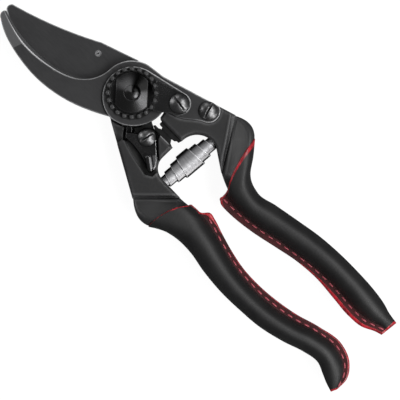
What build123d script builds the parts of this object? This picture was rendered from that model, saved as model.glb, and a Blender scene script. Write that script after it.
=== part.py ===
"""Bypass pruning shears with the jaws closed.

A steel hook on the upper handle and a cutting blade on the lower one turn on
a bolt with a toothed nut. A volute spring opens them, a thumb catch keeps
them shut, and leather sleeves cover the grips.

Origin on the pivot axis at the table. +X runs towards the grips, +Y to the
upper handle and +Z to the nut.
"""

import math
import os

from build123d import *

# Heights above the table
MID = 9.5
BACK = 2.2
FRONT = 13.2
BLADE_BACK = 6.1
BLADE_FRONT = 9.45
HOOK_BACK = 9.5
HOOK_FRONT = 13.5
PAD_FRONT = 14.7
RECESS_FLOOR = 9.4
CASTING_MID = (BACK + FRONT) / 2

# Fits
RUNNING = 0.05
POCKET_GAP = 0.2

# Pivot bolt and toothed nut
BOLT_HEAD_RADIUS = 8.0
BOLT_HEAD_TOP = 2.15
BOLT_RADIUS = 5.0
BOLT_END_RADIUS = 3.1
BOLT_END_TOP = 19.0
BOLT_DOME_START = 18.2
NUT_TEETH = 20
NUT_FIRST_TOOTH = 8.5
NUT_ROOT_RADIUS = 9.4
TOOTH_CENTRES = 9.9
TOOTH_RADIUS = 1.0
TOOTH_TOP = 16.6
TOOTH_BEVEL = 0.5
NUT_RIM_TOP = 15.5
NUT_HUB_RADIUS = 8.3
NUT_CONE_START = 17.3
NUT_TOP = 18.6
NUT_TOP_RADIUS = 3.7
SPANNER_SIZE = 13.0
SPANNER_ANGLE = -48.0

# Hook
BOSS_CENTRE = (1.5, -0.9)
BOSS_RADIUS = 12.8
PAD_RADIUS = 12.6
PAD_EYE = 4.8
HOOK_BOSS_LEFT = 13.45
HOOK_BOSS_END = 104.0
HOOK_TIP = (-61.7, -13.2)
HOOK_INNER = [
    (-61.3, -12.7), (-55.0, -14.6), (-46.0, -15.9), (-37.0, -15.8),
    (-28.0, -14.4), (-21.0, -11.8), (-16.6, -8.2), (-14.2, -3.6), (-13.45, 0.0),
]
HOOK_RIDGE = [(-62.0, -13.4), (-55.0, -15.9), (-45.0, -17.7), (-33.0, -16.7), (-22.0, -13.0), (-16.0, -7.2)]
HOOK_OUTER = [
    (0.0, -13.6), (-5.0, -16.3), (-14.0, -20.2), (-24.0, -22.8), (-34.0, -23.6),
    (-45.0, -22.4), (-55.0, -19.6), (-60.4, -16.6),
]
HOOK_EDGE_LAND = 0.6
TIP_FACET = (-47.3, -19.4)
TIP_FACET_WAY = (-0.941, 0.337)
TIP_FACET_REACH = 20.0
TIP_FACET_FALL = 1.3
TIP_FACET_WIDTH = 12.0
HOOK_BEVEL_BEYOND = [(-20.0, 2.0), (-64.0, 2.0)]
TANG_TOP = (4.5, 14.05)
TANG_CORNER = (29.6, 21.7)
TANG_LOWER = [(28.9, 12.4), (25.0, 9.5), (21.7, 7.0), (18.0, 5.5), (14.2, 4.4)]
TANG_END_RADIUS = 4.9

# Screws
SCREW_HEAD = 2.4
SCREW_RIM = 0.8
SLOT_WIDTH = 0.9
SLOT_DEPTH = 1.3
SHANK_RADIUS = 2.0
SHANK_TIP = 3.6
SEGMENT_SCREW = (17.0, 10.7)
SEGMENT_SCREW_HEAD = 4.0
SEGMENT_SLOT = -7.0
SEGMENT_TOP = 16.4
HOOK_SCREW = (27.6, 17.1)
HOOK_SCREW_HEAD = 3.9
HOOK_SLOT = -73.0
CATCH_SCREW = (17.3, -8.6)
CATCH_SCREW_HEAD = 3.65
CATCH_SLOT = 77.0
CATCH_SHANK = 1.5

# Locking segment
SEGMENT_FROM = 8.0
SEGMENT_TO = 67.0
SEGMENT_CORNERS = 11.5
SEGMENT_CORNER_RADIUS = 0.7
SEGMENT_EYE = 4.5
MESH_GAP = 0.12

# Cutting blade
BLADE_BOSS = 13.0
SPINE_TIP = (-61.3, -8.9)
SPINE_MIDDLE = (-42.0, -2.4)
SPINE_KINK = (-24.0, 6.0)
SPINE_END = (-8.0, 11.5)
BLADE_NOSE = (-62.3, -10.6)
BLADE_EDGE = [(-61.5, -12.4), (-55.0, -15.8), (-45.0, -17.9), (-32.0, -17.0), (-20.0, -13.2), (-9.9, -7.2)]
BEVEL_RIDGE = [(-63.0, -8.5), (-55.0, -10.6), (-45.0, -12.4), (-32.0, -11.8), (-20.0, -9.2), (-13.0, -4.2)]
EDGE_LAND = 0.25
BEVEL_BEYOND = [(-12.0, -26.0), (-66.0, -26.0)]
BEVEL_RUNOUT = 0.1
BLADE_TANG_EYE = 3.8
BLADE_TANG_ROOT = 4.2
RIVET = (-21.8, 1.8)
RIVET_RADIUS = 0.95
RIVET_PROUD = 0.15

# Lock: a dowel under the hook and the nose of the thumb catch
DOWEL_ORBIT = 12.55
DOWEL_ANGLE = -61.5
DOWEL_RADIUS = 1.2
DOWEL_END = 6.6
DOWEL_SEAT = 11.5
NOTCH_ROOT = 10.9
ORBIT_WALL = 14.3
NOTCH_FROM = -69.0
NOTCH_TO = -29.5
NOSE_ANGLE = -50.0
NOSE_REACH = 13.95
NOSE_HEEL = 18.6
NOSE_ARM = 16.5
NOSE_WIDTH = 2.3
NOSE_BACK = 6.5
NOSE_FRONT = 9.2
NOSE_ROOM = 4.4

# Thumb catch
WASHER_FRONT = 9.75
WASHER_RADIUS = 3.2
CATCH_FRONT = 11.75
CATCH_EYE = 4.0
CATCH_BEVEL = 0.4
CATCH_LEAF = [
    (13.5, -10.0), (9.4, -13.1), (11.1, -15.2), (15.5, -15.0), (20.0, -15.6), (24.5, -16.9),
    (28.2, -18.0), (29.2, -16.9), (28.5, -14.4), (27.1, -12.4), (24.9, -10.2), (20.4, -6.1),
]
THUMB_RIB = ((23.6, -14.3), (27.6, -17.0))
THUMB_RIB_WIDTH = 2.4
THUMB_RIB_TOP = 14.4
THUMB_RIB_ROUND = 0.9
CATCH_RECESS_WALL = [(7.2, -12.6), (10.0, -15.2), (15.0, -17.3), (20.0, -18.6), (27.4, -20.2)]
CATCH_RECESS_MOUTH = [
    (30.4, -18.6), (30.6, -14.0), (29.0, -12.8), (25.3, -9.6), (21.4, -5.9), (20.2, -3.0), (4.0, 4.0),
]
LOWER_RIM_START = 10.5

# Handles
THROAT = 15.4
THROAT_FROM = 4.5
THROAT_TO = 69.0
EDGE_BEVEL = 0.9
UPPER_STOP = 0.5
UPPER_STOP_ROOT = 16.2
UPPER_POCKET = [(28.5, UPPER_STOP), (31.2, 7.1), (40.3, 9.0)]
LOWER_STOP = -4.0
LOWER_STOP_ENDS = (15.6, 27.7)
LOWER_DISC = 12.7
LOWER_POCKET = [(27.6, -10.0), (29.47, -14.53), (34.0, -16.4)]
LOWER_OUTER_ROOT = (-5.0, -10.6)
NECK_INSET = 0.2
COLLAR_ROUND = 8.2
COLLAR_STEP = 0.6
UPPER_NECK = [
    ((36.8, 23.9), (49.6, 2.8), CASTING_MID, 4.2, 1.5),
    ((44.4, 25.6), (53.4, 0.9), 8.6, 7.3, 4.0),
]
LOWER_NECK = [
    ((31.0, -30.8), (44.6, -16.6), CASTING_MID, 4.2, 1.5),
    ((39.2, -35.0), (47.6, -16.4), 8.6, 7.3, 4.0),
]

# Rubber buffers
BUFFER_BACK = 3.8
BUFFER_FRONT = 11.6
UPPER_LIP = -1.97
LOWER_LIP = -2.03
UPPER_PAD = [
    (17.0, UPPER_STOP), (17.0, -0.8), (17.4, -1.1), (18.9, -1.2), (19.1, UPPER_LIP), (24.9, UPPER_LIP),
    (26.4, -1.6), (26.9, -1.0), (28.0, -0.9), (28.4, UPPER_STOP),
]
LOWER_PAD = [
    (17.06, LOWER_STOP), (15.6, -3.28), (16.2, -2.5), (18.1, -2.5), (18.7, LOWER_LIP), (24.9, LOWER_LIP),
    (25.8, -3.4), (27.3, LOWER_STOP),
]
BUFFER_STUD = 1.5
BUFFER_STUD_X = 24.3
BUFFER_STUD_ROOT = 0.3
BUFFER_STUD_LENGTH = 3.4

# Volute spring: a rolled strip, split into two arms that wind inwards
SPRING_LOWER = (35.57, -16.85)
SPRING_UPPER = (37.93, 9.9)
STRIP = 0.4
TURN_STEP = 0.85
HALF_TURNS = 7
FIRST_TURN = 2.2
BAND_HALF = 4.2
ARM_HEIGHT = 4.2
SPLIT_RADIUS = 4.4
SPRING_PLAY = 0.1
SEAT_RADIUS = 3.2
PEG_RADIUS = 1.45
PEG_LENGTH = 3.0
PEG_ROOT = 1.0
PROFILE_REACH = 6.0

# Leather grips: outer point, inner point and half thickness of each section
FULLNESS = 0.58
LEATHER = 1.8
CORE_INSET = 1.9
FLANGE = 2.6
UPPER_RUNGS = [
    ((49.4, 22.8), (57.0, -0.9), 9.0),
    ((54.0, 17.2), (57.8, -2.2), 9.2),
    ((58.5, 11.0), (60.5, -3.0), 9.4),
    ((66.0, 7.7), (67.0, -3.2), 9.5),
    ((75.0, 9.3), (76.0, -2.4), 9.3),
    ((86.0, 11.3), (86.5, -0.1), 9.2),
    ((97.0, 13.1), (97.5, 1.6), 9.3),
    ((108.0, 13.9), (108.3, 2.8), 9.5),
    ((119.0, 13.9), (119.0, 2.8), 9.3),
    ((129.0, 13.3), (129.0, 2.2), 8.6),
    ((135.5, 12.3), (135.8, 2.8), 7.2),
    ((140.5, 10.9), (140.8, 4.6), 4.6),
    ((144.8, 10.2), (144.6, 5.5), 1.5),
]
LOWER_RUNGS = [
    ((44.0, -34.4), (50.2, -15.7), 9.0),
    ((50.0, -31.0), (55.0, -15.4), 9.2),
    ((56.0, -29.6), (60.0, -15.6), 9.4),
    ((64.0, -29.7), (67.0, -17.2), 9.4),
    ((73.0, -31.3), (75.0, -19.4), 9.3),
    ((84.0, -32.3), (84.5, -21.3), 9.3),
    ((95.0, -32.1), (95.0, -21.9), 9.4),
    ((106.0, -31.2), (105.0, -21.1), 9.5),
    ((117.0, -28.6), (114.8, -19.0), 9.4),
    ((126.0, -25.6), (124.0, -16.0), 9.0),
    ((133.5, -24.5), (134.5, -14.9), 8.0),
    ((138.5, -26.5), (141.5, -17.8), 6.0),
    ((142.5, -28.2), (145.2, -23.0), 3.6),
    ((145.0, -29.0), (146.4, -27.0), 1.4),
]
CORE_RUNGS = 10
UPPER_FLANGE_EDGE = [
    (57.3, -5.6), (59.0, -6.6), (68.0, -6.6), (85.0, -3.5), (100.0, -0.6), (112.0, -0.2),
    (129.0, -1.8), (137.0, -0.8), (143.6, 2.2), (145.3, 6.5), (144.8, 10.2),
]
UPPER_FLANGE_ROOT = [(142.0, 8.0), (133.0, 3.1), (113.0, 3.9), (88.5, 1.1), (67.0, -2.3), (58.4, -1.2)]
LOWER_FLANGE_EDGE = [
    (55.0, -14.9), (57.6, -12.2), (65.0, -14.0), (80.0, -18.1), (93.0, -19.2), (110.0, -17.4),
    (125.0, -13.2), (134.0, -11.9), (142.0, -14.7), (147.0, -21.0), (146.4, -28.2),
]
LOWER_FLANGE_ROOT = [
    (144.8, -27.8), (140.8, -18.8), (134.3, -15.8), (124.2, -16.9), (106.7, -21.7), (90.0, -22.8),
    (74.0, -20.1), (60.0, -16.5),
]


def polar(radius, angle):
    """Plan point at a radius and an angle in degrees about the pivot."""
    return radius * math.cos(math.radians(angle)), radius * math.sin(math.radians(angle))


def rung_plane(outer, inner, height):
    """Upright plane through two plan points, with its x axis from outer to inner."""
    run = (inner[0] - outer[0], inner[1] - outer[1])
    middle = ((outer[0] + inner[0]) / 2, (outer[1] + inner[1]) / 2, height)
    return Plane(origin=middle, x_dir=(run[0], run[1], 0), z_dir=(run[1], -run[0], 0))


def oval_sections(rungs, inset):
    """Oval sections of a grip, one at each rung, drawn in by the inset."""
    sections = []
    for outer, inner, half_thickness in rungs:
        across = math.dist(outer, inner) / 2 - inset
        up = half_thickness - inset
        with BuildSketch(rung_plane(outer, inner, MID)) as section:
            with BuildLine():
                for x, y in ((across, up), (-across, up), (-across, -up), (across, -up)):
                    Bezier((x, 0), (x, FULLNESS * y), (FULLNESS * x, y), (0, y))
            make_face()
        sections.append(section.sketch)
    return sections


def neck_sections(rungs, collar):
    """Sections of a handle's neck, from flat casting to the rounded seat of the collar."""
    outer, inner, half_thickness = collar
    seat = (outer, inner, MID, half_thickness - COLLAR_STEP, COLLAR_ROUND)
    sections = []
    for outer, inner, height, half_thickness, corner in (*rungs, seat):
        inset = COLLAR_STEP if corner == COLLAR_ROUND else NECK_INSET
        with BuildSketch(rung_plane(outer, inner, height)) as section:
            RectangleRounded(math.dist(outer, inner) - 2 * inset, 2 * half_thickness, corner)
        sections.append(section.sketch)
    return sections


def hook_outline():
    """Plan outline of the hook, as a sketch."""
    tang_far = (HOOK_SCREW[0] + TANG_END_RADIUS, HOOK_SCREW[1])
    boss_right = (BOSS_CENTRE[0] + BOSS_RADIUS, BOSS_CENTRE[1])
    with BuildSketch() as outline:
        with BuildLine():
            Spline(HOOK_INNER)
            CenterArc((0, 0), HOOK_BOSS_LEFT, HOOK_BOSS_END, 180 - HOOK_BOSS_END)
            Line(polar(HOOK_BOSS_LEFT, HOOK_BOSS_END), TANG_TOP)
            Line(TANG_TOP, TANG_CORNER)
            ThreePointArc(TANG_CORNER, tang_far, TANG_LOWER[0])
            Spline(TANG_LOWER)
            ThreePointArc(TANG_LOWER[-1], boss_right, HOOK_OUTER[0])
            Spline(HOOK_OUTER)
            ThreePointArc(HOOK_OUTER[-1], HOOK_TIP, HOOK_INNER[0])
        make_face()
    return outline.sketch


def blade_tang():
    """Tapered bar from the pivot to the catch screw."""
    Circle(BLADE_TANG_ROOT)
    with Locations(CATCH_SCREW):
        Circle(BLADE_TANG_EYE)
    make_hull()


def nut_outline(growth):
    """Toothed outline of the nut, grown all round."""
    Circle(NUT_ROOT_RADIUS + growth)
    with PolarLocations(TOOTH_CENTRES, NUT_TEETH, start_angle=NUT_FIRST_TOOTH):
        Circle(TOOTH_RADIUS + growth)


def slotted_screw(centre, seat, shank_radius, head_radius, slot_angle):
    """Screw with a domed slotted head, seated at a height."""
    crown = (0, seat + SCREW_HEAD)
    with BuildPart() as screw:
        with BuildSketch(Plane(origin=(*centre, 0), x_dir=(1, 0, 0), z_dir=(0, -1, 0))):
            with BuildLine():
                Polyline(
                    crown, (0, SHANK_TIP), (shank_radius, SHANK_TIP), (shank_radius, seat),
                    (head_radius, seat), (head_radius, seat + SCREW_RIM),
                )
                TangentArc(crown, (head_radius, seat + SCREW_RIM), tangent=(1, 0))
            make_face()
        revolve(axis=Axis((*centre, 0), (0, 0, 1)))
        with BuildSketch(Plane.XY.offset(seat + SCREW_HEAD)):
            with Locations(Location((*centre, 0), (0, 0, slot_angle))):
                Rectangle(3 * head_radius, SLOT_WIDTH)
        extrude(amount=-SLOT_DEPTH, mode=Mode.SUBTRACT)
    return screw.part


def grip(rungs, flange_edge, flange_root):
    """Leather sleeve of oval sections, with its sewn flange and the room for the core."""
    with BuildPart() as sleeve:
        loft(oval_sections(rungs, 0))
        with BuildSketch(Plane.XY.offset(MID)):
            with BuildLine():
                Line(flange_root[-1], flange_edge[0])
                Spline(flange_edge)
                Line(flange_edge[-1], flange_root[0])
                Spline(flange_root)
            make_face()
        extrude(amount=FLANGE / 2, both=True)
        loft(oval_sections(rungs[:CORE_RUNGS], LEATHER), mode=Mode.SUBTRACT)
    return sleeve.part


def buffer(outline, stop, side):
    """Rubber pad with a stud, side being +1 where the casting lies towards +Y."""
    with BuildPart() as pad:
        with BuildSketch(Plane.XY.offset(BUFFER_BACK)):
            with BuildLine():
                Polyline(*outline, close=True)
            make_face()
        extrude(amount=BUFFER_FRONT - BUFFER_BACK)
        with BuildSketch(buffer_plane(stop, side)):
            Circle(BUFFER_STUD)
        extrude(amount=BUFFER_STUD_LENGTH)
    return pad.part


def buffer_plane(stop, side):
    """Plane in which a buffer's stud starts, inside the pad and facing into the casting."""
    root = stop - side * BUFFER_STUD_ROOT
    return Plane(origin=(BUFFER_STUD_X, root, CASTING_MID), x_dir=(1, 0, 0), z_dir=(0, side, 0))


def turn_radius(half_turn):
    """Radius of the strip's middle on one half turn of the spring, counted from its bore."""
    return FIRST_TURN + half_turn * TURN_STEP / 2


def turn_centre(half_turn):
    """Centre of one half turn, alternately on either side of the spring's axis."""
    return (TURN_STEP / 4 if half_turn % 2 else -TURN_STEP / 4, 0)


def strip_point(angle):
    """Point on the middle of the strip at an angle from its inner end, in the spring's frame."""
    half_turn = min(int(angle // 180), HALF_TURNS - 1)
    radius = turn_radius(half_turn)
    return (
        turn_centre(half_turn)[0] + radius * math.cos(math.radians(angle)),
        radius * math.sin(math.radians(angle)),
    )


# Frame of the spring, with z along its axis and x to the free end of the strip
spring_run = (SPRING_UPPER[0] - SPRING_LOWER[0], SPRING_UPPER[1] - SPRING_LOWER[1], 0)
spring_length = math.dist(SPRING_UPPER, SPRING_LOWER)
spring_across = (-spring_run[1], spring_run[0], 0)
spring_foot = Plane(origin=(*SPRING_LOWER, CASTING_MID), x_dir=spring_across, z_dir=spring_run)
spring_top = spring_foot.offset(spring_length)

with BuildPart() as hook:
    with BuildSketch(Plane.XY.offset(HOOK_BACK)):
        add(hook_outline())
    extrude(amount=HOOK_FRONT - HOOK_BACK)
    with BuildSketch(Plane.XY.offset(HOOK_FRONT)):
        with Locations(BOSS_CENTRE):
            Circle(PAD_RADIUS)
        with Locations(SEGMENT_SCREW):
            Circle(PAD_EYE)
        make_hull()
        add(hook_outline(), mode=Mode.INTERSECT)
    extrude(amount=PAD_FRONT - HOOK_FRONT)
    edge_line = ([(x, y + BEVEL_RUNOUT) for x, y in HOOK_INNER[:7]], HOOK_BACK + HOOK_EDGE_LAND)
    ridge_line = (HOOK_RIDGE, HOOK_FRONT + BEVEL_RUNOUT)
    for ridge, height in (edge_line, ridge_line):
        with BuildSketch(Plane.XY.offset(height)):
            with BuildLine():
                Spline(ridge)
                Polyline(ridge[-1], *HOOK_BEVEL_BEYOND, ridge[0])
            make_face()
    loft(ruled=True, mode=Mode.SUBTRACT)
    facet_side = (TIP_FACET_WAY[1], -TIP_FACET_WAY[0], 0)
    with BuildSketch(Plane(origin=(*TIP_FACET, HOOK_FRONT), x_dir=(*TIP_FACET_WAY, 0), z_dir=facet_side)):
        with BuildLine():
            run_in = TIP_FACET_REACH * BEVEL_RUNOUT / TIP_FACET_FALL
            Polyline(
                (-run_in, BEVEL_RUNOUT), (TIP_FACET_REACH, BEVEL_RUNOUT),
                (TIP_FACET_REACH, -TIP_FACET_FALL), close=True,
            )
        make_face()
    extrude(amount=TIP_FACET_WIDTH, both=True, mode=Mode.SUBTRACT)
    with BuildSketch(Plane.XY.offset(HOOK_BACK)):
        Circle(BOLT_RADIUS + RUNNING)
        with Locations(SEGMENT_SCREW, HOOK_SCREW):
            Circle(SHANK_RADIUS + RUNNING)
    extrude(amount=PAD_FRONT - HOOK_BACK, mode=Mode.SUBTRACT)
    with BuildSketch(Plane.XY.offset(HOOK_BACK)):
        with Locations(polar(DOWEL_ORBIT, DOWEL_ANGLE)):
            Circle(DOWEL_RADIUS)
    extrude(amount=DOWEL_SEAT - HOOK_BACK, mode=Mode.SUBTRACT)

with BuildPart() as hook_stop_pin:
    with BuildSketch(Plane.XY.offset(DOWEL_END)):
        with Locations(polar(DOWEL_ORBIT, DOWEL_ANGLE)):
            Circle(DOWEL_RADIUS)
    extrude(amount=DOWEL_SEAT - DOWEL_END)

with BuildPart() as cutting_blade:
    with BuildSketch(Plane.XY.offset(BLADE_BACK)):
        with BuildLine():
            ThreePointArc(SPINE_TIP, SPINE_MIDDLE, SPINE_KINK)
            Line(SPINE_KINK, SPINE_END)
            Polyline(SPINE_END, (0, 0), BLADE_EDGE[-1])
            Spline(BLADE_EDGE)
            ThreePointArc(BLADE_EDGE[0], BLADE_NOSE, SPINE_TIP)
        make_face()
        Circle(BLADE_BOSS)
    extrude(amount=BLADE_FRONT - BLADE_BACK)
    with BuildSketch(Plane.XY.offset(BLADE_BACK)):
        blade_tang()
    extrude(amount=BLADE_FRONT - BLADE_BACK)
    for ridge, height in ((BEVEL_RIDGE, BLADE_BACK - BEVEL_RUNOUT), (BLADE_EDGE, BLADE_FRONT - EDGE_LAND)):
        with BuildSketch(Plane.XY.offset(height)):
            with BuildLine():
                Spline(ridge)
                Polyline(ridge[-1], *BEVEL_BEYOND, ridge[0])
            make_face()
    loft(ruled=True, mode=Mode.SUBTRACT)
    with BuildSketch(Plane.XY.offset(BLADE_BACK)):
        with BuildLine():
            CenterArc((0, 0), NOTCH_ROOT, NOTCH_FROM, NOTCH_TO - NOTCH_FROM)
            CenterArc((0, 0), ORBIT_WALL, NOTCH_FROM, NOTCH_TO - NOTCH_FROM)
            for side in (NOTCH_FROM, NOTCH_TO):
                Line(polar(NOTCH_ROOT, side), polar(ORBIT_WALL, side))
        make_face()
        Circle(BOLT_RADIUS + RUNNING)
        with Locations(CATCH_SCREW):
            Circle(CATCH_SHANK + RUNNING)
        with Locations(RIVET):
            Circle(RIVET_RADIUS)
    extrude(amount=BLADE_FRONT - BLADE_BACK, mode=Mode.SUBTRACT)

with BuildPart() as blade_rivet:
    with BuildSketch(Plane.XY.offset(BLADE_BACK)):
        with Locations(RIVET):
            Circle(RIVET_RADIUS)
    extrude(amount=BLADE_FRONT - BLADE_BACK + RIVET_PROUD)

with BuildPart() as pivot_bolt:
    with BuildSketch(Plane.XZ):
        with BuildLine():
            Polyline(
                (0, 0), (BOLT_HEAD_RADIUS - EDGE_BEVEL, 0), (BOLT_HEAD_RADIUS, EDGE_BEVEL),
                (BOLT_HEAD_RADIUS, BOLT_HEAD_TOP), (BOLT_RADIUS, BOLT_HEAD_TOP), (BOLT_RADIUS, PAD_FRONT),
                (BOLT_END_RADIUS, PAD_FRONT), (BOLT_END_RADIUS, BOLT_DOME_START),
            )
            TangentArc((0, BOLT_END_TOP), (BOLT_END_RADIUS, BOLT_DOME_START), tangent=(1, 0))
            Line((0, BOLT_END_TOP), (0, 0))
        make_face()
    revolve(axis=Axis.Z)

with BuildPart() as adjusting_nut:
    with BuildSketch(Plane.XY.offset(PAD_FRONT)):
        with PolarLocations(TOOTH_CENTRES, NUT_TEETH, start_angle=NUT_FIRST_TOOTH):
            Circle(TOOTH_RADIUS)
    extrude(amount=TOOTH_TOP - PAD_FRONT)
    chamfer(adjusting_nut.faces().sort_by(Axis.Z)[-NUT_TEETH:].edges(), TOOTH_BEVEL)
    with BuildSketch(Plane.XZ):
        with BuildLine():
            Polyline(
                (BOLT_END_RADIUS + RUNNING, PAD_FRONT), (NUT_ROOT_RADIUS, PAD_FRONT),
                (NUT_ROOT_RADIUS, NUT_RIM_TOP), (NUT_HUB_RADIUS, NUT_RIM_TOP),
                (NUT_HUB_RADIUS, NUT_CONE_START), (NUT_TOP_RADIUS, NUT_TOP),
                (BOLT_END_RADIUS + RUNNING, NUT_TOP), close=True,
            )
        make_face()
    revolve(axis=Axis.Z)
    with BuildSketch(Plane.XY.offset(NUT_RIM_TOP)):
        Circle(NUT_HUB_RADIUS)
        Rectangle(3 * NUT_HUB_RADIUS, SPANNER_SIZE, rotation=SPANNER_ANGLE, mode=Mode.SUBTRACT)
    extrude(amount=NUT_TOP - NUT_RIM_TOP, mode=Mode.SUBTRACT)

with BuildPart() as locking_segment:
    with BuildSketch(Plane.XY.offset(PAD_FRONT)):
        with Locations(SEGMENT_SCREW):
            Circle(SEGMENT_EYE)
        with Locations(
            polar(SEGMENT_CORNERS, SEGMENT_FROM), polar(SEGMENT_CORNERS, SEGMENT_TO),
            polar(NUT_ROOT_RADIUS, (SEGMENT_FROM + SEGMENT_TO) / 2),
        ):
            Circle(SEGMENT_CORNER_RADIUS)
        make_hull()
        with Locations(SEGMENT_SCREW):
            Circle(SHANK_RADIUS + RUNNING, mode=Mode.SUBTRACT)
    extrude(amount=SEGMENT_TOP - PAD_FRONT)
    with BuildSketch(Plane.XY.offset(PAD_FRONT)):
        nut_outline(MESH_GAP)
    extrude(amount=SEGMENT_TOP - PAD_FRONT, mode=Mode.SUBTRACT)

with BuildPart() as thumb_catch:
    with BuildSketch(Plane.XY.offset(WASHER_FRONT)):
        with BuildLine():
            Polyline(*CATCH_LEAF, close=True)
        make_face()
        with Locations(CATCH_SCREW):
            Circle(CATCH_EYE)
    extrude(amount=CATCH_FRONT - WASHER_FRONT)
    for near, far, top in ((NOSE_REACH, NOSE_HEEL, NOSE_FRONT), (NOSE_ARM, NOSE_HEEL, CATCH_FRONT)):
        with BuildSketch(Plane.XY.offset(NOSE_BACK)):
            with Locations(Location((*polar((near + far) / 2, NOSE_ANGLE), 0), (0, 0, NOSE_ANGLE))):
                Rectangle(far - near, NOSE_WIDTH)
        extrude(amount=top - NOSE_BACK)
    chamfer(thumb_catch.faces().sort_by(Axis.Z)[-1].edges(), CATCH_BEVEL)
    rib_start, rib_end = THUMB_RIB
    rib_angle = math.degrees(math.atan2(rib_end[1] - rib_start[1], rib_end[0] - rib_start[0]))
    rib_middle = ((rib_start[0] + rib_end[0]) / 2, (rib_start[1] + rib_end[1]) / 2)
    with BuildSketch(Plane.XY.offset(CATCH_FRONT)):
        with Locations(Location((*rib_middle, 0), (0, 0, rib_angle))):
            SlotCenterToCenter(math.dist(rib_start, rib_end), THUMB_RIB_WIDTH)
    extrude(amount=THUMB_RIB_TOP - CATCH_FRONT)
    fillet(thumb_catch.faces().sort_by(Axis.Z)[-1].edges(), THUMB_RIB_ROUND)
    with BuildSketch(Plane.XY.offset(WASHER_FRONT)):
        with Locations(CATCH_SCREW):
            Circle(CATCH_SHANK + RUNNING)
    extrude(amount=CATCH_FRONT - WASHER_FRONT, mode=Mode.SUBTRACT)

with BuildPart() as catch_washer:
    with BuildSketch(Plane.XY.offset(BLADE_FRONT)):
        with Locations(CATCH_SCREW):
            Circle(WASHER_RADIUS)
            Circle(CATCH_SHANK + RUNNING, mode=Mode.SUBTRACT)
    extrude(amount=WASHER_FRONT - BLADE_FRONT)

with BuildPart() as upper_handle:
    neck_outer, neck_inner = UPPER_NECK[0][:2]
    with BuildSketch(Plane.XY.offset(BACK)):
        with BuildLine():
            Polyline(polar(THROAT, THROAT_TO), neck_outer, neck_inner, UPPER_POCKET[-1])
            ThreePointArc(*UPPER_POCKET)
            Polyline(UPPER_POCKET[0], (UPPER_STOP_ROOT, UPPER_STOP), polar(THROAT, THROAT_FROM))
            CenterArc((0, 0), THROAT, THROAT_FROM, THROAT_TO - THROAT_FROM)
        make_face()
    extrude(amount=FRONT - BACK)
    chamfer(upper_handle.faces().sort_by(Axis.Z)[0].edges(), EDGE_BEVEL)
    chamfer(upper_handle.faces().sort_by(Axis.Z)[-1].edges(), EDGE_BEVEL)
    loft(neck_sections(UPPER_NECK, UPPER_RUNGS[0]))
    loft(oval_sections(UPPER_RUNGS[:CORE_RUNGS], CORE_INSET))
    pocket_end = TANG_CORNER[0] + POCKET_GAP
    with BuildSketch(Plane.XY.offset(HOOK_BACK)):
        with BuildLine():
            lower_side = Spline([(x, y - POCKET_GAP) for x, y in TANG_LOWER])
            Polyline(
                lower_side @ 1, (0, (lower_side @ 1).Y), (0, 2 * THROAT), (pocket_end, 2 * THROAT),
                (pocket_end, HOOK_SCREW[1]), lower_side @ 0,
            )
        make_face()
        with Locations(HOOK_SCREW):
            Circle(TANG_END_RADIUS + POCKET_GAP)
    extrude(amount=FRONT - HOOK_BACK, mode=Mode.SUBTRACT)
    with BuildSketch(Plane.XY.offset(SHANK_TIP)):
        with Locations(SEGMENT_SCREW, HOOK_SCREW):
            Circle(SHANK_RADIUS + RUNNING)
    extrude(amount=HOOK_BACK - SHANK_TIP, mode=Mode.SUBTRACT)
    with BuildSketch(buffer_plane(UPPER_STOP, 1)):
        Circle(BUFFER_STUD + RUNNING)
    extrude(amount=BUFFER_STUD_LENGTH, mode=Mode.SUBTRACT)
    with BuildSketch(spring_top):
        Circle(SEAT_RADIUS)
    extrude(amount=-PEG_LENGTH, mode=Mode.SUBTRACT)
    with BuildSketch(spring_top.offset(PEG_ROOT)):
        Circle(PEG_RADIUS)
    extrude(amount=-PEG_LENGTH - PEG_ROOT)

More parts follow.
